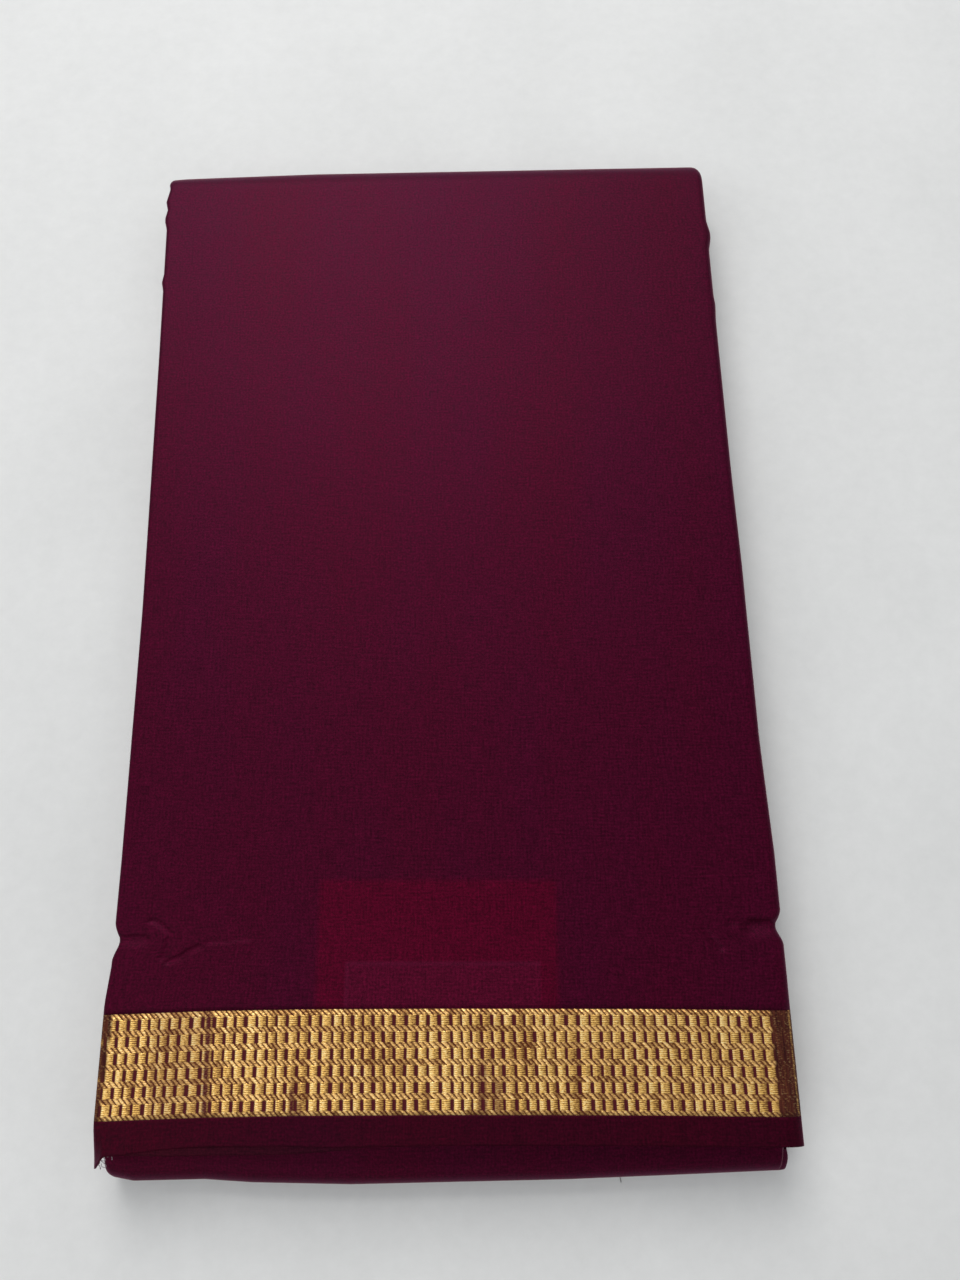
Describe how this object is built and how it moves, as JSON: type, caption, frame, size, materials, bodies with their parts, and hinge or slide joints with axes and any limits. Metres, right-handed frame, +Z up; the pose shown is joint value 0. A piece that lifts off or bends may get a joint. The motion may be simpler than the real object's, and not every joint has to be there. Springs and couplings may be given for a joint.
{
  "type": "saree",
  "caption": "Length of plain silk cloth with a woven gold border, folded flat into a thin oblong stack that rests on its underside.",
  "frame": {"origin": "middle of the footprint, on the surface the folded cloth rests on", "axes": "+Z up out of the top face, +Y along the fold's length away from the gold border, +X to the side where the cloth turns in closed folds"},
  "size_m": [0.1774, 0.304, 0.0199],
  "materials": {
    "cloth": "plain woven silk, dark wine purple, soft sheen",
    "gold_border": "woven metal thread, gold, soft metallic sheen",
    "hidden_layers": "plain woven silk, dark wine purple, in shade between the folds"
  },
  "bodies": {
    "root": {"near_selvedge": "cloth", "gold_border": "gold_border", "top_stretch": "cloth", "far_fold": "cloth", "under_stretch": "cloth", "near_fold": "cloth", "lower_selvedge": "cloth", "hidden_layers": "hidden_layers"}
  },
  "joints": []
}
